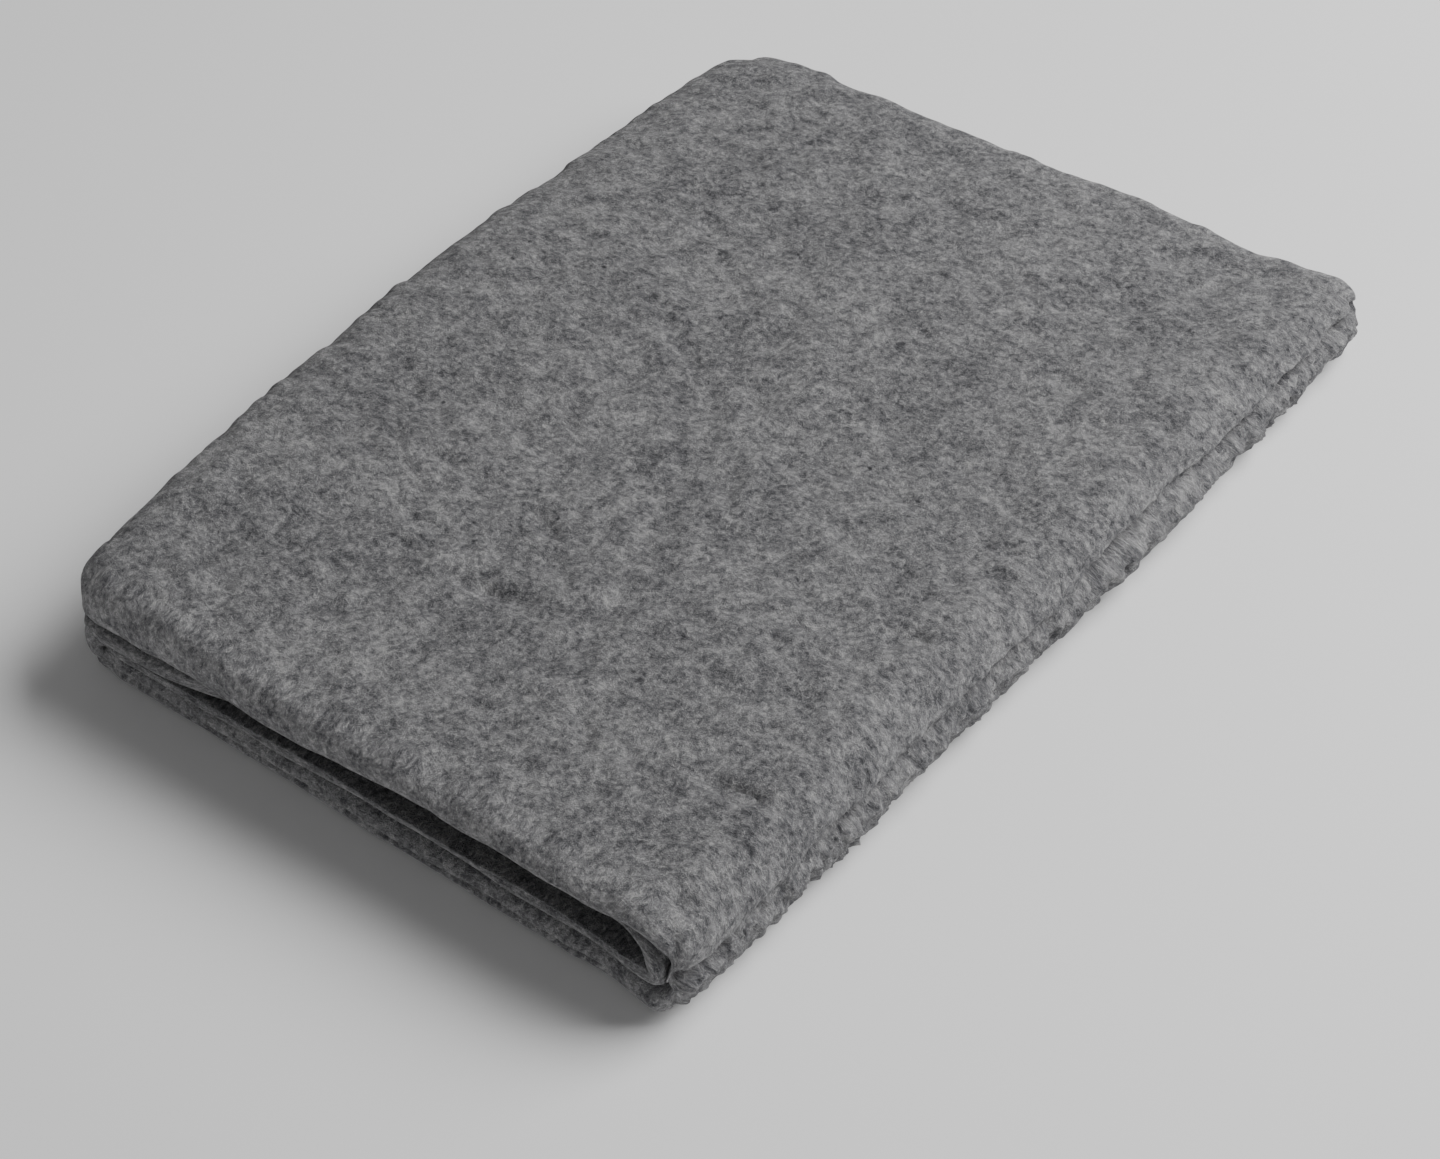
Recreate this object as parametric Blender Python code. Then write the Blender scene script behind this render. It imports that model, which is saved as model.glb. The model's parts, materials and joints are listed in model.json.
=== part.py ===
"""A throw blanket folded into a flat packet, lying on a table.

One cloth of 1.20 x 1.80 m is folded in four both ways, which makes sixteen
plies.  The cross folds come first: the length is halved twice, so the cloth
becomes a strip four plies thick, with two nested folds at its near end (-Y)
and one fold and two cut ends at its far end (+Y).  Then the width is halved
twice: the side fold at -X joins the third and bottom leaves, and the last
fold, the spine at +X, joins the upper two leaves to the lower two.

The cloth is cut here at its fold lines, so each ply is a flat panel and each
turn of the cloth is a piece of its own.  The last fold is the one that can be
opened while all the others are closed: the upper half turns about the outer
line of the spine, at the height of the gap between the halves.

Frame: origin at the middle of the footprint on the table, X across the
packet with the spine at +X, Y along it with the rolled ends at -Y, Z up.
Everything is laid out on a true rectangle, and plan() then gives it the
packet's real outline, which is a little wider at the far end and bows out
on the open side.
"""

import math

import bpy
from mathutils import Matrix, Vector

# ---------------------------------------------------------------- dimensions
CUT_WIDTH = 1.20  # the flat cloth
CUT_LENGTH = 1.80
PACK_WIDTH = 0.306  # the folded packet, over its folds
PACK_LENGTH = 0.456

# Heights of the packet at its four corners.  The top slopes down towards the
# far end, where the folds are pressed flatter.
TOP_NEAR_SPINE = 0.050
TOP_NEAR_OPEN = 0.056
TOP_FAR_SPINE = 0.032
TOP_FAR_OPEN = TOP_NEAR_OPEN + TOP_FAR_SPINE - TOP_NEAR_SPINE

# Heights of the gap between the lower and the upper half.
GAP_NEAR_SPINE = TOP_NEAR_SPINE / 2
GAP_FAR_SPINE = TOP_FAR_SPINE / 2
GAP_NEAR_OPEN = 0.023

# How the packet's outline differs from a true rectangle.
WIDEN = 0.034  # share by which the far end is wider, and the near end narrower
LENGTHEN = 0.030  # share by which the spine is longer, and the open side shorter
BOW = 0.0164  # how far the open side bows out in the middle of its length

AIR = 0.00034  # air between two plies
HALF_PLIES = 8  # plies in each half
LEAF_PLIES = 4  # plies in each leaf

SPINE_DEPTH = 0.022  # how far the spine bulges past the flat panels
SIDE_DEPTH = 0.011  # the same for the side fold at -X
NEAR_DEPTH = 0.012  # the same for the two nested folds at -Y
FAR_DEPTH = 0.006  # the same for the single fold at +Y
CUT_BACK = 0.0025  # each cut edge lies this much further in than the next
ARC_STEPS = 8

FELT_GREY = (0.172, 0.170, 0.178, 1.0)

# ------------------------------------------------------------ derived planes
HALF_X = PACK_WIDTH / 2
HALF_Y = PACK_LENGTH / 2
X_SPINE = HALF_X - SPINE_DEPTH  # where the flat panels end
X_SIDE = -HALF_X + SIDE_DEPTH
X_OPEN = -HALF_X + 0.001
Y_NEAR = -HALF_Y + NEAR_DEPTH
Y_FAR = HALF_Y - FAR_DEPTH


def plane(near_spine, far_spine, near_open):
    """The height over (x, y) of a plane given at three corners."""
    dx = (near_spine - near_open) / PACK_WIDTH
    dy = (far_spine - near_spine) / PACK_LENGTH
    middle = near_spine - dx * HALF_X + dy * HALF_Y

    def height(x, y):
        return middle + dx * x + dy * y

    return height


top_at = plane(TOP_NEAR_SPINE, TOP_FAR_SPINE, TOP_NEAR_OPEN)
gap_at = plane(GAP_NEAR_SPINE, GAP_FAR_SPINE, GAP_NEAR_OPEN)


# The widest place of the bowed side, as a share of half the length, and the
# extremes of the eased outline, which scale it back to PACK_WIDTH x PACK_LENGTH.
WIDEST = HALF_X * WIDEN / (2 * BOW)
X_LEAST = -HALF_X * (1 + WIDEN * WIDEST) - BOW * (1 - WIDEST**2)
X_MOST = HALF_X * (1 + WIDEN)


def plan(x, y):
    """Carries a place on the true rectangle to its place in the packet."""
    u, v = x / HALF_X, y / HALF_Y
    across = x * (1 + WIDEN * v) - BOW * min(max(-u, 0), 1) ** 2 * (1 - v * v)
    across = (across - (X_LEAST + X_MOST) / 2) * PACK_WIDTH / (X_MOST - X_LEAST)
    return across, y * (1 + LENGTHEN * u) / (1 + LENGTHEN)


def height(x, y, level):
    """Level -1 is the table, 0 the gap between the halves, +1 the top."""
    if level >= 0:
        return gap_at(x, y) + level * (top_at(x, y) - gap_at(x, y))
    return gap_at(x, y) * (1 + level)


# ------------------------------------------------------------------ building
def material_for(name, shade):
    material = bpy.data.materials.new(name + "_felt")
    material.use_nodes = True
    shader = material.node_tree.nodes["Principled BSDF"]
    shader.inputs["Base Color"].default_value = (
        FELT_GREY[0] * shade,
        FELT_GREY[1] * shade,
        FELT_GREY[2] * shade,
        1.0,
    )
    shader.inputs["Roughness"].default_value = 0.95
    shader.inputs["Metallic"].default_value = 0.0
    return material


def loft(name, loops, parent, shade=1.0):
    """A closed solid through loops of points, with flat caps on both ends."""
    count = len(loops[0])
    half = count // 2
    points = [p for loop in loops for p in loop]
    faces = []
    for i in range(len(loops) - 1):
        for j in range(count):
            k = (j + 1) % count
            a, b = i * count + j, i * count + k
            c, d = (i + 1) * count + k, (i + 1) * count + j
            # The diagonals run the same way on both sides of the cloth, so
            # that facing plies stay parallel where the packet tapers.
            if j < half:
                faces += [(a, b, c), (a, c, d)]
            else:
                faces += [(a, b, d), (b, c, d)]
    last = (len(loops) - 1) * count
    # The caps are strips between the outer and the inner line of the loop.
    for j in range(half - 1):
        a, b = j, j + 1
        c, d = count - 2 - j, count - 1 - j
        faces.append((a, d, c, b))
        faces.append((last + a, last + b, last + c, last + d))
    mesh = bpy.data.meshes.new(name)
    mesh.from_pydata([tuple(p) for p in points], [], faces)
    mesh.update()
    volume = 0.0
    mesh.calc_loop_triangles()
    for tri in mesh.loop_triangles:
        a, b, c = (mesh.vertices[v].co for v in tri.vertices)
        volume += a.dot(b.cross(c))
    if volume < 0:
        mesh.flip_normals()
    mesh.shade_smooth()
    mesh.set_sharp_from_angle(angle=math.radians(40))
    obj = bpy.data.objects.new(name, mesh)
    mesh.materials.append(material_for(name, shade))
    bpy.context.scene.collection.objects.link(obj)
    if parent:
        obj.parent = parent
        obj.matrix_parent_inverse = parent.matrix_basis.inverted()
    return obj


def between(start, stop, lines):
    """The two ends and the lines that lie between them."""
    return (start, *(v for v in lines if start + 0.01 < v < stop - 0.01), stop)


X_LINES = tuple(HALF_X * k / 4 for k in range(-3, 1))
Y_LINES = tuple(HALF_Y * k / 4 for k in range(-3, 4))


def panel(name, low, high, x_range, y_range, parent, shade):
    """A flat ply between two levels."""
    loops = []
    for x in x_range:
        upper = [
            Vector((*plan(x, y), height(x, y, high) - (AIR / 2 if high < 1 else 0)))
            for y in y_range
        ]
        lower = [
            Vector((*plan(x, y), height(x, y, low) + (AIR / 2 if low > -1 else 0)))
            for y in reversed(y_range)
        ]
        loops.append(upper + lower)
    return loft(name, loops, parent, shade)


def arc(centre, half, depth, inner, outer, place, start=0.0, stop=math.pi):
    """The outline of one turn of cloth, in a plane across its fold line.

    centre and half give the levels that the fold spans, depth how far it
    bulges, inner and outer the cloth's two sides as shares of the fold.
    place(out, level, grow) turns a point of the turn into a point in space.
    """
    steps = ARC_STEPS if stop - start > 2 else ARC_STEPS // 2
    angles = [start + (stop - start) * i / steps for i in range(steps + 1)]

    def line(share, side):
        found = []
        for angle in angles:
            out, up = math.sin(angle), math.cos(angle)
            found.append(
                place(
                    depth * share * out + side * AIR / 2 * out,
                    centre + half * share * up,
                    side * AIR / 2 * up,
                )
            )
        return found

    outside = line(outer, -1 if outer < 1 else 0)
    inside = line(max(inner, 0.02), 1)
    return outside + inside[::-1]


# ------------------------------------------------------------------ the part
for found in list(bpy.data.objects):
    bpy.data.objects.remove(found, do_unlink=True)

# The upper half hangs on an empty on the axis of the last fold.
spine_axis = bpy.data.objects.new("spine_fold_axis", None)
spine_axis.location = (*plan(HALF_X, 0.0), gap_at(HALF_X, 0.0))
spine_axis.empty_display_size = 0.05
bpy.context.scene.collection.objects.link(spine_axis)
spine_axis.matrix_basis = Matrix.Translation(spine_axis.location)

LEAVES = (
    # name, lowest level, parent, the ends of its panels at -X, far fold on top
    ("top_leaf", 0.5, spine_axis, X_OPEN, True),
    ("second_leaf", 0.0, spine_axis, X_OPEN, False),
    ("third_leaf", -0.5, None, X_SIDE, True),
    ("bottom_leaf", -1.0, None, X_SIDE, False),
)
STEP = 1.0 / HALF_PLIES

for number, (leaf, floor_level, parent, x_end, fold_on_top) in enumerate(LEAVES):
    x_stop = X_SPINE - AIR / 2
    # Panels, counted from the top of the leaf.
    for ply in range(LEAF_PLIES):
        high = floor_level + 0.5 - ply * STEP
        low = high - STEP
        folded_far = ply < 2 if fold_on_top else ply >= 2
        if x_end == X_OPEN:
            x_start = x_end + CUT_BACK * ((ply + number) % 3)
        else:
            x_start = x_end + AIR / 2
        y_stop = (Y_FAR if folded_far else HALF_Y - CUT_BACK * (1 + ply % 2)) - AIR / 2
        panel(
            f"{leaf}_panel_{ply + 1}",
            low,
            high,
            between(x_start, x_stop, X_LINES),
            between(Y_NEAR + AIR / 2, y_stop, Y_LINES),
            parent,
            1.0 - 0.04 * ((ply + number) % 3),
        )

    # The two nested folds at the near end, one round the other.
    x_from = x_end + (CUT_BACK * 2 if x_end == X_OPEN else AIR)
    for part, inner, outer in (("outer", 0.5, 1.0), ("inner", 0.0, 0.5)):
        loops = []
        for x in between(x_from, x_stop - AIR, X_LINES):

            def place(out, level, grow, x=x):
                y = Y_NEAR - AIR / 2 - out
                return Vector((*plan(x, y), height(x, y, level) + grow))

            loops.append(
                arc(floor_level + 0.25, 0.25, NEAR_DEPTH - AIR / 2, inner, outer, place)
            )
        loft(f"{leaf}_{part}_near_fold", loops, parent, 0.96)

    # The single fold at the far end, over two of the four plies.
    middle = floor_level + (0.375 if fold_on_top else 0.125)
    loops = []
    for x in between(x_from, x_stop - AIR, X_LINES):

        def place(out, level, grow, x=x):
            y = Y_FAR + AIR / 2 + out
            return Vector((*plan(x, y), height(x, y, level) + grow))

        loops.append(arc(middle, 0.125, FAR_DEPTH - AIR / 2, 0.0, 1.0, place))
    loft(f"{leaf}_far_fold", loops, parent, 0.98)

# The side fold at -X: four nested turns from the third leaf to the bottom one.
for turn in range(LEAF_PLIES):
    loops = []
    for y in between(Y_NEAR + AIR, Y_FAR - AIR, Y_LINES):

        def place(out, level, grow, y=y):
            x = X_SIDE - AIR / 2 - out
            return Vector((*plan(x, y), height(x, y, level) + grow))

        loops.append(
            arc(
                -0.5,
                0.5 - 0.008,
                SIDE_DEPTH - AIR / 2,
                turn / LEAF_PLIES,
                (turn + 1) / LEAF_PLIES,
                place,
            )
        )
    loft(f"side_fold_{turn + 1}", loops, None, 0.97)

# The spine at +X: eight nested turns, each cut where the halves part.
for turn in range(HALF_PLIES):
    inner, outer = turn / HALF_PLIES, (turn + 1) / HALF_PLIES
    for part, parent, start, stop in (
        ("upper", spine_axis, 0.0, math.pi / 2),
        ("lower", None, math.pi / 2, math.pi),
    ):
        side = 1 if part == "upper" else -1
        loops = []
        for y in (Y_NEAR + AIR, Y_FAR - AIR):

            def place(out, level, grow, y=y, side=side):
                x = X_SPINE + AIR / 2 + out
                z = height(x, y, level) + grow
                gap = gap_at(x, y)
                clear = AIR / 2
                z = max(z, gap + clear) if side > 0 else min(z, gap - clear)
                return Vector((*plan(x, y), z))

            loops.append(
                arc(
                    0.0,
                    1.0,
                    SPINE_DEPTH - AIR / 2,
                    inner,
                    outer,
                    place,
                    start,
                    stop,
                )
            )
        loft(f"spine_fold_{part}_{turn + 1}", loops, parent, 0.97)
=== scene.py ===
"""The looks of a folded throw blanket: one felted cloth, folded in four both ways.

The cloth is computed as a real sheet of 1.20 x 1.80 m.  Each point of the flat
cloth (s across, t along) is carried through the folds in the order in which a
person makes them, then the whole packet is eased, dented and puckered by smooth
displacements of space, so that plies never pass through each other.
"""

import json
import math

import bpy
import numpy as np
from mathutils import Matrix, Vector


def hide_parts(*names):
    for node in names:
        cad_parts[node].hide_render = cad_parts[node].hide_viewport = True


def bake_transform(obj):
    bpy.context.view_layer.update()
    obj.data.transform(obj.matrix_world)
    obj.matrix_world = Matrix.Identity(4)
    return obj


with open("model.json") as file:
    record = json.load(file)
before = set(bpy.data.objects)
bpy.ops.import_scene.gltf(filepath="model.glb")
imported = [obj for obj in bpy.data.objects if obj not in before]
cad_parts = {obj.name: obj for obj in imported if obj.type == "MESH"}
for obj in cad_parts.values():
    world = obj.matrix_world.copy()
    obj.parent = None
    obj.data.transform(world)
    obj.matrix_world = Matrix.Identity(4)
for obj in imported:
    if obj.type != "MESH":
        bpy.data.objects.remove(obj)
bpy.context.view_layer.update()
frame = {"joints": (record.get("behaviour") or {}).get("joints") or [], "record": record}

# ------------------------------------------------------------- the CAD frame
# The same lengths in metres as the CAD is laid out with.
PACK_WIDTH, PACK_LENGTH = 0.306, 0.456
HALF_X, HALF_Y = PACK_WIDTH / 2, PACK_LENGTH / 2
WIDEN, LENGTHEN, BOW = 0.034, 0.030, 0.0164
SPINE_DEPTH, SIDE_DEPTH = 0.022, 0.011
NEAR_DEPTH, FAR_DEPTH = 0.012, 0.006
X_SPINE = HALF_X - SPINE_DEPTH
X_SIDE = -HALF_X + SIDE_DEPTH
X_OPEN = -HALF_X + 0.001
Y_NEAR = -HALF_Y + NEAR_DEPTH
Y_FAR = HALF_Y - FAR_DEPTH

JOINT = next(j for j in frame["joints"] if j["name"] == "spine_fold")


def plane(near_spine, far_spine, near_open):
    dx = (near_spine - near_open) / (2 * HALF_X)
    dy = (far_spine - near_spine) / (2 * HALF_Y)
    middle = near_spine - dx * HALF_X + dy * HALF_Y
    return lambda x, y: middle + dx * x + dy * y


WIDEST = HALF_X * WIDEN / (2 * BOW)
X_LEAST = -HALF_X * (1 + WIDEN * WIDEST) - BOW * (1 - WIDEST**2)
X_MOST = HALF_X * (1 + WIDEN)


def plan(x, y):
    """Carries a place on the true rectangle to its place in the packet's real outline, as the CAD does."""
    u, v = x / HALF_X, y / HALF_Y
    across = x * (1 + WIDEN * v) - BOW * np.clip(-u, 0, 1) ** 2 * (1 - v * v)
    across = (across - (X_LEAST + X_MOST) / 2) * PACK_WIDTH / (X_MOST - X_LEAST)
    return across, y * (1 + LENGTHEN * u) / (1 + LENGTHEN)


top_at = plane(0.050, 0.032, 0.056)
gap_at = plane(0.025, 0.016, 0.023)


# -------------------------------------------------------------- smooth tools
def smooth(a, b, v):
    """0 before a, 1 after b, and a smooth rise between."""
    k = np.clip((v - a) / (b - a), 0.0, 1.0)
    return k * k * (3 - 2 * k)


def bump(v, middle, width):
    return np.exp(-(((v - middle) / width) ** 2))


TABLE = np.random.default_rng(4021).uniform(-1, 1, 65536).astype(np.float32)


def noise(x, y, z, size, seed, octaves=1, gain=0.5):
    """Smooth noise between -1 and 1 whose lumps are about size metres apart."""
    total, weight, norm = 0.0, 1.0, 0.0
    for octave in range(octaves):
        f = 2.0**octave / size
        index, values = [np.int64((seed + octave) * 7919 % 65536)], [np.float32(1)]
        for number, v in enumerate((x, y, z)):
            if np.isscalar(v):
                continue
            p = np.asarray(v, np.float64) * f + 4096.0
            base = np.floor(p)
            w = (p - base).astype(np.float32)
            w = w * w * w * (w * (w * 6 - 15) + 10)
            i = base.astype(np.int64) * (1, 257, 20011)[number]
            step = (1, 257, 20011)[number]
            index = [(k + i + d) for k in index for d in (0, step)]
            values = [share * u for share in values for u in (1 - w, w)]
        found = sum(
            share * TABLE[(k * 40503 >> 3) & 65535] for k, share in zip(index, values)
        )
        total = total + found * weight
        norm += weight
        weight *= gain
    return total / norm


# ------------------------------------------------------------------ the folds
# Length along the cloth of each flat run and each turn, in metres, then how far
# apart the mesh lines lie on its outer and on its inner face.
RUN_Y = Y_FAR - Y_NEAR
T_PARTS = (
    ("run_a1", RUN_Y + 0.003, 0.0180, 0.0180),
    ("outer_near", 0.030, 0.0011, 0.0025),
    ("run_a2", RUN_Y, 0.0010, 0.0040),
    ("far", 0.008, 0.0009, 0.0020),
    ("run_b2", RUN_Y, 0.0250, 0.0250),
    ("inner_near", 0.010, 0.0016, 0.0030),
    ("run_b1", RUN_Y + 0.001, 0.0250, 0.0250),
)
S_PARTS = (
    ("top", X_SPINE - X_OPEN, 0.0020, 0.0060),
    ("outer_spine", 0.056, 0.0013, 0.0025),
    ("bottom", X_SPINE - X_SIDE, 0.0070, 0.0100),
    ("side", 0.018, 0.0015, 0.0025),
    ("third", X_SPINE - X_SIDE, 0.0080, 0.0120),
    ("inner_spine", 0.021, 0.0018, 0.0030),
    ("second", X_SPINE - X_OPEN, 0.0080, 0.0120),
)


# How much of the bake's map each run and turn gets: most for what shows.
T_CHART = (0.05, 0.08, 0.70, 0.03, 0.05, 0.04, 0.05)
S_CHART = (0.40, 0.12, 0.16, 0.04, 0.12, 0.04, 0.12)


def charted(weights, which, share):
    """Where the mesh lines lie along one side of the bake's map, 0 to 1."""
    starts = np.concatenate([[0.0], np.cumsum(weights)])
    return starts[which] + np.array(weights)[which] * share


def stations(parts, column):
    """Where the mesh lines lie along the cloth: which part, how far through it (0 to 1), and the length so far."""
    which, share, length = [], [], []
    so_far = 0.0
    for number, part in enumerate(parts):
        size, step = part[1], part[column]
        count = max(4, int(round(size / step)))
        last = number == len(parts) - 1
        for i in range(count + (1 if last else 0)):
            which.append(number)
            share.append(i / count)
            length.append(so_far + size * i / count)
        so_far += size
    return np.array(which), np.array(share), np.array(length)


def cross_fold(part, share, side):
    """The two folds across the length: the place y along the packet, and the share q of the leaf's thickness, 0 to 1.

    side runs from -0.5 to 0.5 through the cloth, in shares of a ply's height."""
    o = side
    angle = share * math.pi
    full = np.sin(angle) ** 0.7  # a squarer turn than a round one
    y = np.zeros_like(share + o)
    q = np.zeros_like(y)

    def put(mask, yy, qq):
        nonlocal y, q
        y = np.where(mask, yy, y)
        q = np.where(mask, qq, q)

    put(part == 0, Y_FAR + 0.003 - (RUN_Y + 0.003) * share, 1 / 8 - o / 4)
    rho = 3 / 4 + o / 2
    put(
        part == 1,
        Y_NEAR - NEAR_DEPTH * rho * full,
        0.5 - 0.5 * rho * np.cos(angle),
    )
    put(part == 2, Y_NEAR + RUN_Y * share, 7 / 8 + o / 4)
    rho = 1 / 8 + o / 4
    put(
        part == 3,
        Y_FAR + FAR_DEPTH * 4 * rho * np.sin(angle),
        6 / 8 + rho * np.cos(angle),
    )
    put(part == 4, Y_FAR - RUN_Y * share, 5 / 8 - o / 4)
    rho = 1 / 4 - o / 2
    put(
        part == 5,
        Y_NEAR - NEAR_DEPTH * rho * full,
        0.5 + 0.5 * rho * np.cos(angle),
    )
    put(part == 6, Y_NEAR + (RUN_Y + 0.001) * share, 3 / 8 + o / 4)
    return y, q


def width_fold(part, share, q):
    """The two folds across the width: the place x across the packet, and the level, -1 at the table to 1 at the top."""
    angle = share * math.pi
    crowd = 0.35  # the plies lie closer together at the spine than between the panels
    x = np.zeros_like(share + q)
    level = np.zeros_like(x)

    def put(mask, xx, ll):
        nonlocal x, level
        x = np.where(mask, xx, x)
        level = np.where(mask, ll, level)

    put(part == 0, X_OPEN + (X_SPINE - X_OPEN) * share, 0.5 + 0.5 * q)
    rho = 0.5 + 0.5 * q
    put(
        part == 1,
        X_SPINE + SPINE_DEPTH * rho**crowd * np.sin(angle),
        rho * np.cos(angle),
    )
    put(part == 2, X_SPINE + (X_SIDE - X_SPINE) * share, -0.5 - 0.5 * q)
    put(part == 3, X_SIDE - SIDE_DEPTH * q * np.sin(angle), -0.5 - 0.5 * q * np.cos(angle))
    put(part == 4, X_SIDE + (X_SPINE - X_SIDE) * share, -0.5 + 0.5 * q)
    rho = 0.5 - 0.5 * q
    put(
        part == 5,
        X_SPINE + SPINE_DEPTH * rho**crowd * np.sin(angle),
        -rho * np.cos(angle),
    )
    put(part == 6, X_SPINE + (X_OPEN - X_SPINE) * share, 0.5 - 0.5 * q)
    return x, level


# ------------------------------------------------------------ the soft shape
# Dents in the top: x, y, half length, half width, turn in degrees, depth.
DENTS = (
    (-0.012, -0.134, 0.015, 0.0042, 16, 0.0036),
    (0.124, -0.061, 0.009, 0.0050, 35, 0.0038),
    (0.122, -0.160, 0.012, 0.0046, 12, 0.0046),
    (0.137, -0.211, 0.010, 0.0055, 65, 0.0030),
    (-0.104, -0.062, 0.009, 0.0050, 0, 0.0016),
    (-0.132, 0.130, 0.009, 0.0050, 20, 0.0014),
    (-0.021, -0.094, 0.008, 0.0040, -26, 0.0026),
    (0.060, -0.172, 0.014, 0.0055, -50, 0.0014),
    (0.090, 0.030, 0.012, 0.0060, 25, 0.0014),
)


def round_corners(x, y, radius):
    """Pulls the packet's four corners in, in plan."""
    dx = np.abs(x) - (HALF_X - radius)
    dy = np.abs(y) - (HALF_Y - radius)
    both = (dx > 1e-6) & (dy > 1e-6)
    far = np.where(both, np.hypot(dx, dy), 1.0)
    share = np.where(both, np.maximum(dx, dy) / far, 1.0)
    return (
        np.where(both, np.sign(x) * (HALF_X - radius + dx * share), x),
        np.where(both, np.sign(y) * (HALF_Y - radius + dy * share), y),
    )


def quarter(e):
    """0 to 1 along a quarter circle: flat at first, then steeper and steeper."""
    return 1 - np.sqrt(np.clip(1 - np.clip(e, 0, 1) ** 2, 0, 1))


def settle(x, y, level, outer):
    """Carries the ideal packet to the real one: puffed, eased and dented, ply by ply.

    outer is true on the cloth's outer face.  The inner face has fewer points,
    so the shortest puckers leave it alone."""
    near = 1 - smooth(-HALF_Y + 0.004, -HALF_Y + 0.075, y)  # 1 at the near end
    upper = level > 0
    over = np.clip(level, 0, 1)
    under = np.clip(level, -1, 0)
    lower = 1 - smooth(-0.12, 0.0, level)
    spine = smooth(X_SPINE - 0.004, HALF_X - 0.002, x)  # 1 at the spine

    # At the near end the top leaf's roll is plump and overhangs the leaf below.
    knee = 0.5 - near * (0.27 - 0.15 * smooth(-0.075, 0.06, x) - 0.03 * smooth(0.04, 0.12, x))
    over = np.where(
        over < 0.5, over * knee / 0.5, knee + (over - 0.5) * (1 - knee) / 0.5
    )

    # In the lower half the bottom leaf is the plumper one there.
    leaf = 0.5 + 0.13 * near
    up = 1 + under
    under = np.where(up < 0.5, up * leaf / 0.5, leaf + (up - 0.5) * (1 - leaf) / 0.5) - 1

    # The spine is two rolls with a crease between them.
    out = np.clip((x - X_SPINE) / SPINE_DEPTH, 0, 1.2)
    crease = 0.30 + 0.30 * noise(y, 0, 0, 0.042, 11, 2)
    at = 0.02 + 0.20 * smooth(-0.14, 0.12, y) + 0.10 * noise(y, 0, 0, 0.07, 12, 2)
    x = x - SPINE_DEPTH * out * np.clip(crease, 0.03, 0.60) * bump(level, at, 0.17)
    # Its upper roll bulges here and there, and is lumpy.
    x = x + out * 0.0022 * noise(y, 0, 0, 0.06, 13, 2) * smooth(0.05, 0.5, level)
    if outer:
        lumps = noise(y, level * 0.022, 0, 0.0058, 18, 2, 0.6)
        x = x + out * lumps * (0.0012 + 0.0019 * (1 - smooth(-0.15, 0.25, level)))
    # Below the crease the cloth is gathered into short upright puckers, each
    # with one steep side, so that its foot is toothed.
    way = y / 0.0062 + 1.6 * noise(y, 0, 0, 0.021, 14)
    tooth = way - np.floor(way)
    tooth = np.where(tooth < 0.78, tooth / 0.78, (1 - tooth) / 0.22) - 0.5
    pucker = tooth * (0.55 + 0.75 * noise(y, 0, 0, 0.013, 15)) + 0.35 * noise(
        y, level, 0, 0.0052, 16
    )
    pucker = pucker * (0.75 + 0.5 * noise(y, 0, 0, 0.05, 17))
    if not outer:
        pucker = 0.3 * pucker - 0.75
    gathered = smooth(-1.0, -0.8, level) * (1 - smooth(-0.30, 0.05, level))
    foot = 1 - smooth(-1.0, -0.40, level)
    x = x + out * pucker * (0.0018 * gathered + 0.0038 * foot)
    x = x + out * (
        0.0030 * (1 - smooth(-0.9, -0.2, level)) + 0.0032 * lower * bump(y, 0.070, 0.075)
    )

    # The mouth at the near end, between the halves.
    mouth = 1 - smooth(-HALF_Y + 0.012, -HALF_Y + 0.085, y)
    mouth = mouth * (1 - smooth(X_SPINE - 0.010, X_SPINE + 0.012, x))
    open_up = (
        0.0012
        + 0.0010 * smooth(-0.13, -0.05, x)
        + 0.0022 * smooth(-0.06, 0.045, x)
        + 0.0012 * smooth(0.04, 0.115, x)
    )
    open_down = 0.0020 + 0.0020 * smooth(-0.07, 0.04, x)

    # The whole packet's edges are round: the stack thins towards them.
    rim = (
        0.36 * quarter((-HALF_X + 0.028 - x) / 0.028)
        + 0.30 * quarter((y - HALF_Y + 0.024) / 0.024)
        + 0.15 * quarter((-HALF_Y + 0.036 - y) / 0.036)
        + 0.10 * quarter((x - HALF_X + 0.035) / 0.035)
    )
    rim = np.where(upper, rim, 0.25 * rim)

    gap = gap_at(x, y)
    top = top_at(x, y)
    # The top is never flat: broad swells, small lumps, and a few sharp dents.
    swell = (
        0.0020 * noise(x, y, 0, 0.12, 21, 2)
        + 0.0011 * noise(x, y, 0, 0.038, 22, 2)
        + 0.0010 * noise(x, y, 0, 0.016, 23, 2, 0.6)
        + 0.0008 * noise(x, y, 0, 0.0068, 24) * (1 + 0.6 * spine)
        - 0.0045 * bump(x, 0.090, 0.045) * smooth(0.11, 0.228, y)
    )
    for cx, cy, long, wide, turn, depth in DENTS:
        c, k = math.cos(math.radians(turn)), math.sin(math.radians(turn))
        a, b = (x - cx) * c + (y - cy) * k, -(x - cx) * k + (y - cy) * c
        swell = swell - depth * np.exp(-((a / long) ** 2) - (b / wide) ** 2)
    low_of_upper = gap + 0.0003 + open_up * mouth
    high_of_lower = gap - 0.0003 - open_down * mouth
    height = (top - low_of_upper) * (1 - rim) + swell * (1 - 0.4 * spine) - 0.001

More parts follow.
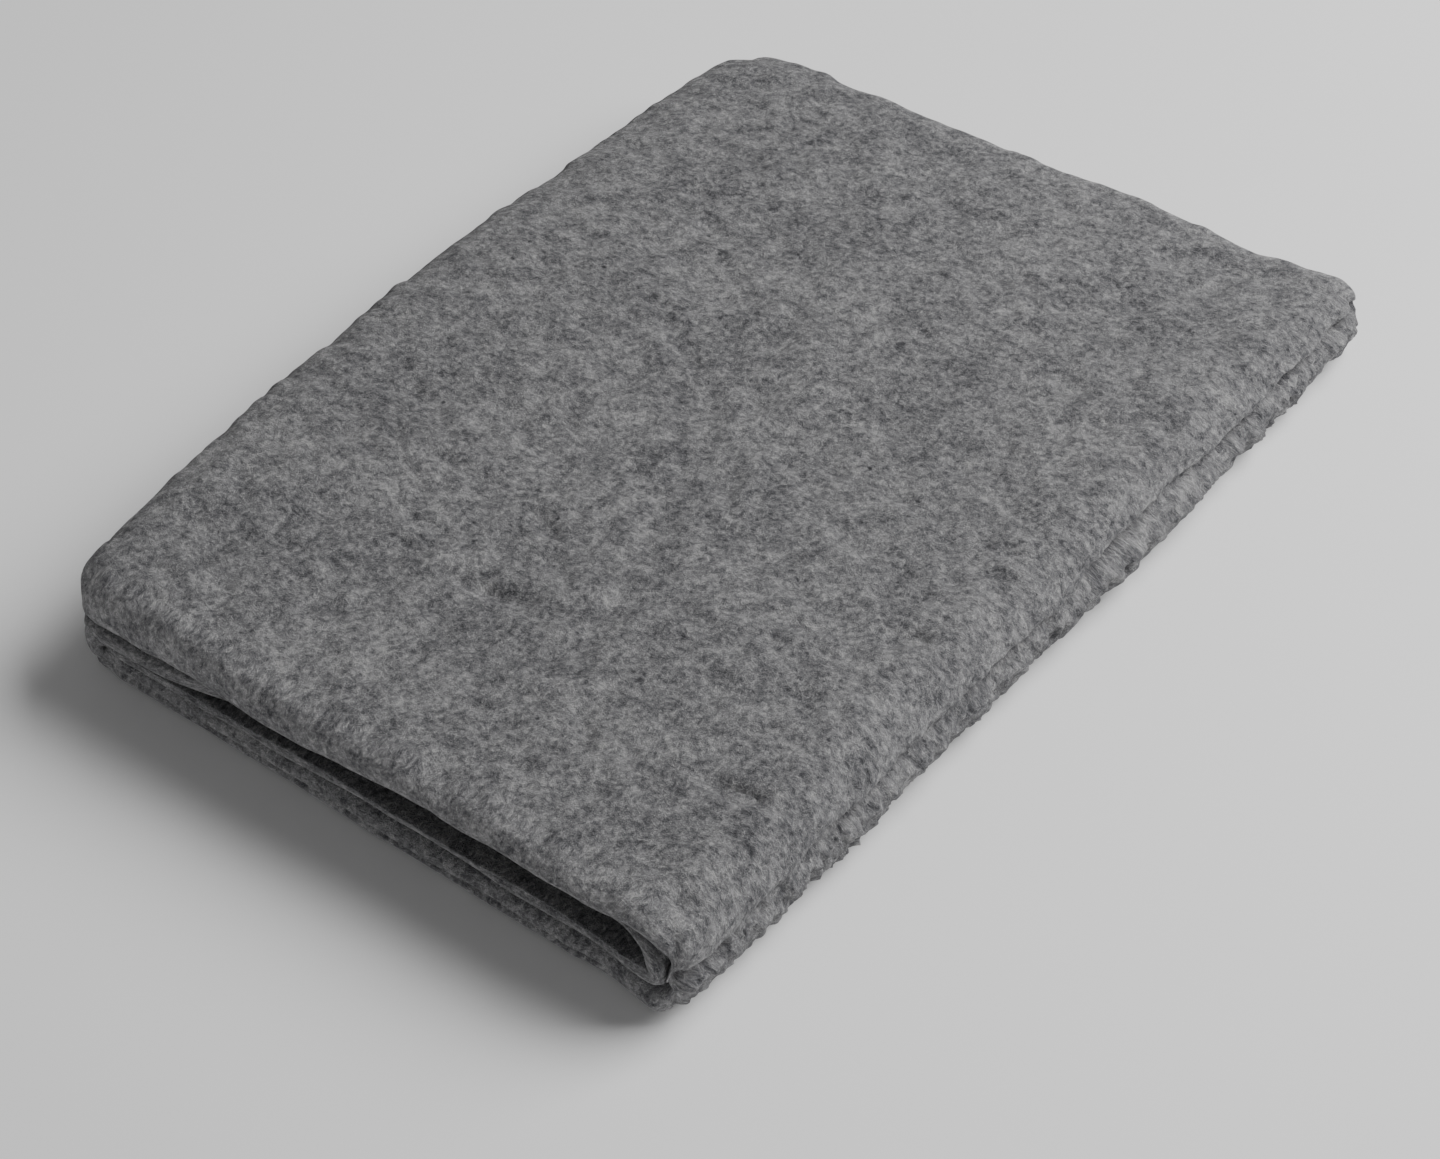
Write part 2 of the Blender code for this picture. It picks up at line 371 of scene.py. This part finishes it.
    # At the near end the second leaf lies back inside, and so do the lower two,
    # the third a little further than the bottom one.
    second = bump(over, 0.12, 0.13) * upper
    y = y + near * (
        second
        * (0.002 + 0.023 * smooth(-0.11, -0.01, x))
        * (1 - smooth(X_SPINE - 0.02, X_SPINE + 0.01, x))
        + lower
        * (0.0074 - 0.0012 * smooth(0.03, 0.08, x))
        * (1 - 0.60 * smooth(X_SPINE - 0.015, X_SPINE + 0.015, x))
        + 0.0020
        * smooth(-0.60, -0.42, level)
        * (1 - smooth(-0.06, 0.02, level))
        * smooth(-0.06, -0.01, x)
        * (1 - smooth(0.095, 0.125, x))
        + smooth(0.0, 0.5, level)
        * (0.0018 * smooth(-0.01, 0.035, x) + 0.0018 * smooth(0.085, 0.140, x))
    )
    # A long crease runs along the bottom leaf's near edge.
    y = y + near * 0.0034 * bump(level, -0.775, 0.055) * (
        1 - smooth(X_SPINE - 0.03, X_SPINE, x)
    )
    wave = noise(x, level * 0.02, 0, 0.024, 33, 2) * (1 - smooth(-0.5, -0.2, level))
    y = y + near * 0.0016 * wave * (0.35 + 0.65 * smooth(0.0, 0.07, x))
    # At the near open corner the lower leaves' side fold pokes out as a small loop.
    x = x - 0.0050 * bump(y, -HALF_Y + 0.016, 0.010) * lower * (
        1 - smooth(-HALF_X, -HALF_X + 0.03, x)
    )

    z = np.where(upper, low_of_upper + over * height, high_of_lower * (1 + under))
    # Each ply lies a little differently from the next, and no edge is smooth.
    x, y = plan(*round_corners(x, y, 0.017))
    edge = np.clip(np.abs(x) / 0.15 - 0.8, 0, 0.2) / 0.2
    x = x + 0.0010 * noise(y, level * 0.09, 0, 0.030, 31, 2)
    y = y + 0.0009 * noise(x, level * 0.08, 0, 0.026, 32, 2)
    x = x + 0.0006 * edge * noise(y, level * 0.02, 0, 0.0095, 34)
    # The gap stays one plane where the points end up, so the halves part cleanly.
    z = z + (gap_at(x, y) - gap) * np.where(upper, 1.0, 1 + under)
    return x, y, z


def side_of(part_column, side):
    """One face of the cloth: its grid of points, and each one's place on the flat cloth."""
    t_part, t_share, t_length = stations(T_PARTS, part_column)
    s_part, s_share, s_length = stations(S_PARTS, part_column)
    shape = (len(s_part), len(t_part))
    y, q = cross_fold(t_part[None, :], t_share[None, :], side)
    y, q = np.broadcast_to(y, shape), np.broadcast_to(q, shape)
    x, level = width_fold(
        np.broadcast_to(s_part[:, None], shape),
        np.broadcast_to(s_share[:, None], shape),
        q,
    )
    points = np.stack(settle(x, y, level, side > 0), -1)
    flat = np.stack(
        [
            np.broadcast_to(s_length[:, None], shape),
            np.broadcast_to(t_length[None, :], shape),
            np.full(shape, 0.0 if side > 0 else 0.35),
        ],
        -1,
    )
    chart = np.stack(
        [
            np.broadcast_to(charted(T_CHART, t_part, t_share)[None, :], shape),
            np.broadcast_to(charted(S_CHART, s_part, s_share)[:, None], shape),
        ],
        -1,
    )
    return points, flat, chart


def stitch(outer, inner, outer_at, inner_at):
    """Triangles between two lines of points that run side by side."""
    found = []
    i = j = 0
    while i < len(outer) - 1 or j < len(inner) - 1:
        if j == len(inner) - 1 or (
            i < len(outer) - 1 and outer_at[i + 1] <= inner_at[j + 1]
        ):
            found.append((outer[i], inner[j], outer[i + 1]))
            i += 1
        else:
            found.append((outer[i], inner[j], inner[j + 1]))
            j += 1
    return found


def build(name, low_side, high_side):
    """The closed cloth between two offsets through its thickness."""
    outer_points, outer_flat, outer_chart = side_of(2, high_side)
    inner_points, inner_flat, inner_chart = side_of(3, low_side)
    points = np.concatenate([outer_points.reshape(-1, 3), inner_points.reshape(-1, 3)])
    cloth = np.concatenate([outer_flat.reshape(-1, 3), inner_flat.reshape(-1, 3)])

    def grid(shape, start):
        return np.arange(shape[0] * shape[1]).reshape(shape) + start

    outer = grid(outer_flat.shape[:2], 0)
    inner = grid(inner_flat.shape[:2], outer.size)

    def quads(index):
        a, b = index[:-1, :-1], index[1:, :-1]
        c, d = index[1:, 1:], index[:-1, 1:]
        return np.stack([a, b, c, d], -1).reshape(-1, 4)

    # The outer face takes most of the bake's map, the inner face a strip, and
    # the cloth's cut edges a thin rim round the outer face.
    low_u, wide_u, rim = 0.010, 0.980, 0.006
    outer_uv = outer_chart.reshape(-1, 2) * (wide_u, 0.918) + (low_u, 0.010)
    inner_uv = inner_chart.reshape(-1, 2) * (wide_u, 0.045) + (low_u, 0.945)
    rim_uv = inner_chart.reshape(-1, 2) * (wide_u, 0.918) + (low_u, 0.010)
    places = np.concatenate([outer_uv, inner_uv])
    edges, edge_places = [], []
    for turn, along in ((0, 0), (1, 1), (2, 0), (3, 1)):
        # The four edges of each grid, walked the same way round.
        def edge(index, turn=turn):
            return (
                index[:, 0],
                index[-1, :],
                index[::-1, -1],
                index[0, ::-1],
            )[turn]

        o, n = edge(outer), edge(inner)
        sign = 1 if turn < 2 else -1
        found = np.array(stitch(o, n, sign * cloth[o, along], sign * cloth[n, along]))
        outwards = np.array(((-rim, 0), (0, rim), (rim, 0), (0, -rim))[turn])
        on_inner = found >= outer.size
        edge_places.append(
            np.where(
                on_inner[..., None],
                rim_uv[np.where(on_inner, found - outer.size, 0)] + outwards,
                places[found],
            )
        )
        edges.append(found)
    edges = np.concatenate(edges)
    edge_places = np.concatenate(edge_places)
    flats = np.concatenate([quads(outer), quads(inner)[:, ::-1]])
    volume = np.einsum(
        "ij,ij->i",
        points[flats[:, 0]],
        np.cross(points[flats[:, 1]], points[flats[:, 2]])
        + np.cross(points[flats[:, 2]], points[flats[:, 3]]),
    ).sum()
    if volume < 0:
        flats, edges = flats[:, ::-1], edges[:, ::-1]
        edge_places = edge_places[:, ::-1]

    mesh = bpy.data.meshes.new(name)
    mesh.vertices.add(len(points))
    mesh.vertices.foreach_set("co", points.astype(np.float32).ravel())
    corners = np.concatenate([flats.ravel(), edges.ravel()]).astype(np.int32)
    mesh.loops.add(len(corners))
    mesh.loops.foreach_set("vertex_index", corners)
    starts = np.concatenate(
        [
            np.arange(len(flats)) * 4,
            len(flats) * 4 + np.arange(len(edges)) * 3,
        ]
    )
    mesh.polygons.add(len(starts))
    mesh.polygons.foreach_set("loop_start", starts.astype(np.int32))
    uv_map = mesh.uv_layers.new(name="OFBake")
    uv_map.data.foreach_set(
        "uv",
        np.concatenate([places[flats].reshape(-1, 2), edge_places.reshape(-1, 2)])
        .astype(np.float32)
        .ravel(),
    )
    mesh.update(calc_edges=True)
    mesh.validate()
    attribute = mesh.attributes.new("cloth", "FLOAT_VECTOR", "POINT")
    attribute.data.foreach_set("vector", cloth.astype(np.float32).ravel())
    mesh.shade_smooth()
    obj = bpy.data.objects.new(name, mesh)
    bpy.context.scene.collection.objects.link(obj)
    return obj


# ------------------------------------------------------------- the materials
def felt_material(name, base):
    material = bpy.data.materials.new(name)
    material.use_nodes = True
    tree = material.node_tree
    nodes, links = tree.nodes, tree.links
    shader = nodes["Principled BSDF"]
    shader.inputs["Roughness"].default_value = 0.95
    shader.inputs["Specular IOR Level"].default_value = 0.12
    shader.inputs["Sheen Weight"].default_value = 0.12
    shader.inputs["Sheen Roughness"].default_value = 0.55
    place = nodes.new("ShaderNodeAttribute")
    place.attribute_name = "cloth"

    def mapped(scale, turn=0.0, shift=0.0):
        node = nodes.new("ShaderNodeMapping")
        node.vector_type = "TEXTURE"  # turns first and stretches after
        node.inputs["Scale"].default_value = [1 / k for k in scale]
        node.inputs["Rotation"].default_value = (0, 0, turn)
        node.inputs["Location"].default_value = (shift, shift * 1.7, 0)
        links.new(place.outputs["Vector"], node.inputs["Vector"])
        return node.outputs["Vector"]

    def noisy(vector, scale, detail, rough, distortion=0.0):
        node = nodes.new("ShaderNodeTexNoise")
        node.inputs["Scale"].default_value = scale
        node.inputs["Detail"].default_value = detail
        node.inputs["Roughness"].default_value = rough
        node.inputs["Distortion"].default_value = distortion
        links.new(vector, node.inputs["Vector"])
        return node.outputs["Fac"]

    def math_node(operation, a, b=None, clamp=False):
        node = nodes.new("ShaderNodeMath")
        node.operation = operation
        node.use_clamp = clamp
        for socket, value in ((0, a), (1, b)):
            if value is None:
                continue
            if isinstance(value, (int, float)):
                node.inputs[socket].default_value = value
            else:
                links.new(value, node.inputs[socket])
        return node.outputs[0]

    def stretch(value, low, high, to_low, to_high):
        node = nodes.new("ShaderNodeMapRange")
        node.inputs["From Min"].default_value = low
        node.inputs["From Max"].default_value = high
        node.inputs["To Min"].default_value = to_low
        node.inputs["To Max"].default_value = to_high
        links.new(value, node.inputs["Value"])
        return node.outputs["Result"]

    plain = mapped((1, 1, 1))
    tufts = noisy(plain, 370, 7, 0.72, 0.45)
    clumps = noisy(mapped((1, 1, 1), 0.6, 3.1), 105, 4, 0.6, 0.2)
    broad = noisy(mapped((1, 1, 1), 0.2, 7.7), 22, 3, 0.5)
    # Fibres: narrow streaks that run every way, each layer at its own angle.
    hairs = []
    for number, turn in enumerate((0.35, 1.25, 2.1, 2.85)):
        streak = noisy(
            mapped((2500, 430, 800), turn, 1.3 + number), 1.0, 1, 0.5, 0.7
        )
        hairs.append(stretch(streak, 0.56, 0.74, 0, 1))
    hair = math_node("ADD", math_node("ADD", hairs[0], hairs[1]), math_node("ADD", hairs[2], hairs[3]))
    shades = [
        stretch(noisy(mapped((1700, 560, 800), turn, 9.3), 1.0, 2, 0.6, 0.7), 0.55, 0.75, 0, 1)
        for turn in (0.8, 2.4)
    ]
    dark_hair = math_node("ADD", shades[0], shades[1])

    value = math_node("ADD", stretch(tufts, 0.3, 0.7, -0.36, 0.36), stretch(clumps, 0.3, 0.7, -0.17, 0.17))
    value = math_node("ADD", value, stretch(broad, 0.3, 0.7, -0.07, 0.07))
    value = math_node("ADD", value, math_node("MULTIPLY", hair, 0.19))
    value = math_node("SUBTRACT", value, math_node("MULTIPLY", dark_hair, 0.13))

    # A few dark specks and fewer light ones, a millimetre across.
    specks = nodes.new("ShaderNodeTexVoronoi")
    specks.inputs["Scale"].default_value = 95
    links.new(mapped((1, 1, 1), 0.1, 2.2), specks.inputs["Vector"])
    near = stretch(specks.outputs["Distance"], 0.05, 0.11, 1, 0)
    split = nodes.new("ShaderNodeSeparateColor")
    links.new(specks.outputs["Color"], split.inputs["Color"])
    dark = math_node("MULTIPLY", near, math_node("GREATER_THAN", split.outputs["Red"], 0.86))
    light = math_node("MULTIPLY", near, math_node("GREATER_THAN", split.outputs["Green"], 0.93))
    value = math_node("SUBTRACT", value, math_node("MULTIPLY", dark, 0.45))
    value = math_node("ADD", value, math_node("MULTIPLY", light, 0.35))

    ramp = nodes.new("ShaderNodeValToRGB")
    ramp.color_ramp.interpolation = "LINEAR"
    stops = (
        (0.00, 0.14, (0.98, 0.97, 1.10)),
        (0.25, 0.45, (0.98, 0.98, 1.07)),
        (0.50, 1.00, (1.00, 0.995, 1.03)),
        (0.75, 1.75, (1.00, 0.995, 1.01)),
        (1.00, 2.70, (1.01, 1.00, 0.99)),
    )
    elements = ramp.color_ramp.elements
    while len(elements) < len(stops):
        elements.new(0.5)
    for element, (position, times, tint) in zip(elements, stops):
        element.position = position
        element.color = tuple(base * times * k for k in tint) + (1.0,)
    links.new(stretch(value, -0.46, 0.46, 0, 1), ramp.inputs["Fac"])
    links.new(ramp.outputs["Color"], shader.inputs["Base Color"])

    relief = math_node("ADD", math_node("MULTIPLY", tufts, 0.9), math_node("MULTIPLY", hair, 0.25))
    relief = math_node("ADD", relief, noisy(mapped((1, 1, 1), 0.4, 5.5), 1300, 3, 0.7, 0.4))
    node = nodes.new("ShaderNodeBump")
    node.inputs["Strength"].default_value = 0.7
    node.inputs["Distance"].default_value = 0.0012
    links.new(relief, node.inputs["Height"])
    links.new(node.outputs["Normal"], shader.inputs["Normal"])
    return material


# --------------------------------------------------------------- the cloth
felt = felt_material("heather_felt", 0.150)
cloth = build("throw_cloth", -0.40, 0.40)
cloth.data.materials.append(felt)
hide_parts(*[n for nodes in frame["record"]["behaviour"]["bodies"].values() for n in nodes])
middle = Vector((0, 0, gap_at(0, 0)))
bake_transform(cloth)

# ---------------------------------------------------------- floor and lights
floor_mesh = bpy.data.meshes.new("floor")
r = 6.0
floor_mesh.from_pydata(
    [(-r, -r, -0.0004), (r, -r, -0.0004), (r, r, -0.0004), (-r, r, -0.0004)],
    [],
    [(0, 1, 2, 3)],
)
floor = bpy.data.objects.new("floor", floor_mesh)
bpy.context.scene.collection.objects.link(floor)
floor_material = bpy.data.materials.new("pale_floor")
floor_material.use_nodes = True
floor_shader = floor_material.node_tree.nodes["Principled BSDF"]
floor_shader.inputs["Base Color"].default_value = (0.94, 0.94, 0.94, 1)
floor_shader.inputs["Roughness"].default_value = 0.9
floor_shader.inputs["Specular IOR Level"].default_value = 0.1
floor_mesh.materials.append(floor_material)

world = bpy.data.worlds.new("studio")
bpy.context.scene.world = world
world.use_nodes = True
world.node_tree.nodes["Background"].inputs["Color"].default_value = (1, 1, 1, 1)
world.node_tree.nodes["Background"].inputs["Strength"].default_value = 0.12


def area_light(name, place, aim, size, power):
    data = bpy.data.lights.new(name, "AREA")
    data.shape = "RECTANGLE"
    data.size, data.size_y = size
    data.energy = power
    light = bpy.data.objects.new(name, data)
    light.location = place
    light.rotation_euler = (
        (Vector(aim) - Vector(place)).to_track_quat("-Z", "Y").to_euler()
    )
    bpy.context.scene.collection.objects.link(light)
    return light


area_light("key", (0.90, 0.95, 1.40), (0, 0, 0), (1.5, 1.5), 56)
area_light("fill", (0.0, -3.0, 0.36), (0, 0, 0.02), (2.4, 0.6), 27)

# -------------------------------------------------------------------- camera
AZIMUTH, ELEVATION, DISTANCE = math.radians(35.43), math.radians(42.46), 1.2853
TARGET = Vector((0.0427, -0.0632, 0.030))
camera_data = bpy.data.cameras.new("camera")
camera_data.sensor_width = 36
camera_data.lens = 90
camera = bpy.data.objects.new("camera", camera_data)
back = Vector(
    (
        math.sin(AZIMUTH) * math.cos(ELEVATION),
        -math.cos(AZIMUTH) * math.cos(ELEVATION),
        math.sin(ELEVATION),
    )
)
camera.location = TARGET + back * DISTANCE
camera.rotation_euler = (-back).to_track_quat("-Z", "Y").to_euler()
bpy.context.scene.collection.objects.link(camera)
bpy.context.scene.camera = camera
